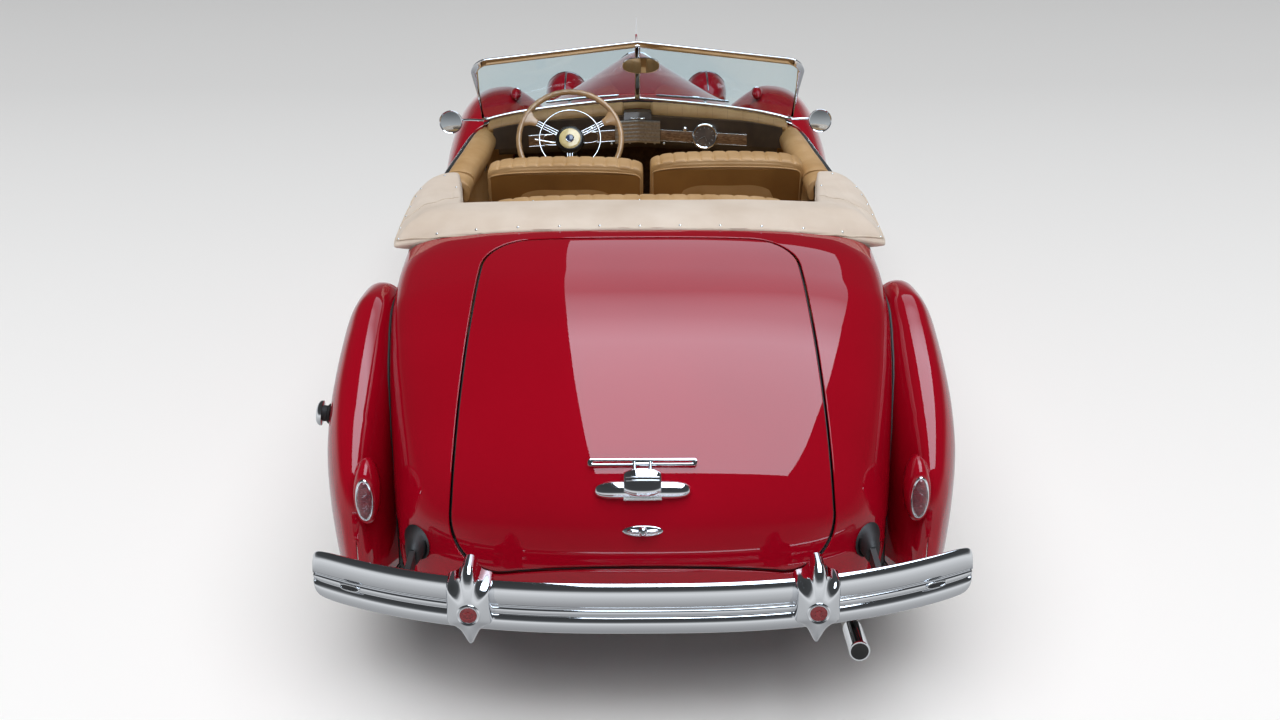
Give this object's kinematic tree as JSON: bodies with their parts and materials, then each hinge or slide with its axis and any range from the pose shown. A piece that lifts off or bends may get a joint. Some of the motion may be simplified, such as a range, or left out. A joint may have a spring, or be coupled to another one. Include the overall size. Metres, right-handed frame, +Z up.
{
  "type": "classic convertible",
  "caption": "Classic two-door convertible car with a long bonnet, split windscreen, rounded tail and its top folded under a cover.",
  "frame": {"origin": "on the ground under the middle of the car, midway between the bumpers", "axes": "+X to the car's left, +Y to its rear, +Z up; the front faces -Y"},
  "size_m": [1.9497, 5.246, 1.4509],
  "materials": {
    "red_paint": "glossy dark red enamel",
    "chrome": "polished chrome plate",
    "tan_leather": "satin tan leather",
    "cream_canvas": "matt cream canvas",
    "black_rubber": "matt black rubber",
    "frame_black": "satin black chassis paint",
    "cast_iron": "painted cast iron",
    "pipe_steel": "dull steel",
    "clear_glass": "clear",
    "red_lens": "red glass lens"
  },
  "bodies": {
    "body": {"chassis_frame": "frame_black", "floor_pan": "frame_black", "cowl": "red_paint", "rear_body": "red_paint", "nose_shell": "red_paint", "radiator_grille": "chrome", "front_wing_left": "red_paint", "front_wing_right": "red_paint", "rear_wing_left": "red_paint", "rear_wing_right": "red_paint", "running_board_left": "frame_black", "running_board_right": "frame_black", "headlamp_left": "red_paint", "headlamp_right": "red_paint", "tail_lamp_left": "red_lens", "tail_lamp_right": "red_lens", "front_bumper": "chrome", "rear_bumper": "chrome", "windscreen_frame": "chrome", "windscreen_glass_left": "clear_glass", "windscreen_glass_right": "clear_glass", "dashboard": "tan_leather", "steering_column": "frame_black", "front_seat_left": "tan_leather", "front_seat_right": "tan_leather", "rear_seat": "tan_leather", "top_boot": "cream_canvas", "exhaust_pipe": "pipe_steel", "engine_block": "cast_iron", "fuel_tank": "pipe_steel", "rear_axle": "frame_black", "front_suspension": "frame_black", "wheelhouse_left": "frame_black", "wheelhouse_right": "frame_black", "fuel_filler_cap": "chrome", "front_apron": "red_paint"},
    "left_door": {"door_left": "red_paint"},
    "right_door": {"door_right": "red_paint"},
    "lid": {"boot_lid": "red_paint", "plate_lamp": "chrome", "lid_handle": "chrome"},
    "left_bonnet": {"bonnet_left": "red_paint"},
    "right_bonnet": {"bonnet_right": "red_paint"},
    "left_knuckle": {"knuckle_left": "frame_black"},
    "right_knuckle": {"knuckle_right": "frame_black"},
    "front_left_wheel": {"tyre_front_left": "black_rubber", "wheel_front_left": "red_paint"},
    "front_right_wheel": {"tyre_front_right": "black_rubber", "wheel_front_right": "red_paint"},
    "rear_left_wheel": {"tyre_rear_left": "black_rubber", "wheel_rear_left": "red_paint"},
    "rear_right_wheel": {"tyre_rear_right": "black_rubber", "wheel_rear_right": "red_paint"},
    "hand_wheel": {"steering_wheel": "tan_leather"}
  },
  "joints": [
    {"name": "door_left_open", "type": "hinge", "parent": "body", "child": "left_door", "pos_m": [0.701, -0.609, 0.7], "axis": [0, 0, -1], "range_deg": [0, 65]},
    {"name": "door_right_open", "type": "hinge", "parent": "body", "child": "right_door", "pos_m": [-0.701, -0.609, 0.7], "axis": [0, 0, 1], "range_deg": [0, 65]},
    {"name": "boot_lid_open", "type": "hinge", "parent": "body", "child": "lid", "pos_m": [0, 1.3349, 1.133], "axis": [1, 0, 0], "range_deg": [0, 60]},
    {"name": "bonnet_left_open", "type": "hinge", "parent": "body", "child": "left_bonnet", "pos_m": [0, -1.3, 1.1285], "axis": [0, -0.9994, -0.0357], "range_deg": [0, 60]},
    {"name": "bonnet_right_open", "type": "hinge", "parent": "body", "child": "right_bonnet", "pos_m": [0, -1.3, 1.1285], "axis": [0, 0.9994, 0.0357], "range_deg": [0, 60]},
    {"name": "steer_left", "type": "hinge", "parent": "body", "child": "left_knuckle", "pos_m": [0.69, -1.763, 0.3685], "axis": [0, 0, 1], "range_deg": [-28, 28]},
    {"name": "steer_right", "type": "hinge", "parent": "body", "child": "right_knuckle", "pos_m": [-0.69, -1.763, 0.3685], "axis": [0, 0, 1], "range_deg": [-28, 28]},
    {"name": "steering_wheel_turn", "type": "hinge", "parent": "body", "child": "hand_wheel", "pos_m": [0.285, -0.1984, 1.075], "axis": [0, 0.809, 0.5878], "range_deg": [-448, 448]},
    {"name": "front_left_wheel_spin", "type": "hinge", "parent": "left_knuckle", "child": "front_left_wheel", "pos_m": [0.753, -1.763, 0.3685], "axis": [1, 0, 0], "continuous": true},
    {"name": "front_right_wheel_spin", "type": "hinge", "parent": "right_knuckle", "child": "front_right_wheel", "pos_m": [-0.753, -1.763, 0.3685], "axis": [1, 0, 0], "continuous": true},
    {"name": "rear_left_wheel_spin", "type": "hinge", "parent": "body", "child": "rear_left_wheel", "pos_m": [0.77, 1.463, 0.3685], "axis": [1, 0, 0], "continuous": true},
    {"name": "rear_right_wheel_spin", "type": "hinge", "parent": "body", "child": "rear_right_wheel", "pos_m": [-0.77, 1.463, 0.3685], "axis": [1, 0, 0], "continuous": true}
  ],
  "couplings": [
    {"joint": "steer_right", "follows": "steer_left", "ratio": 1},
    {"joint": "steering_wheel_turn", "follows": "steer_left", "ratio": 16}
  ]
}
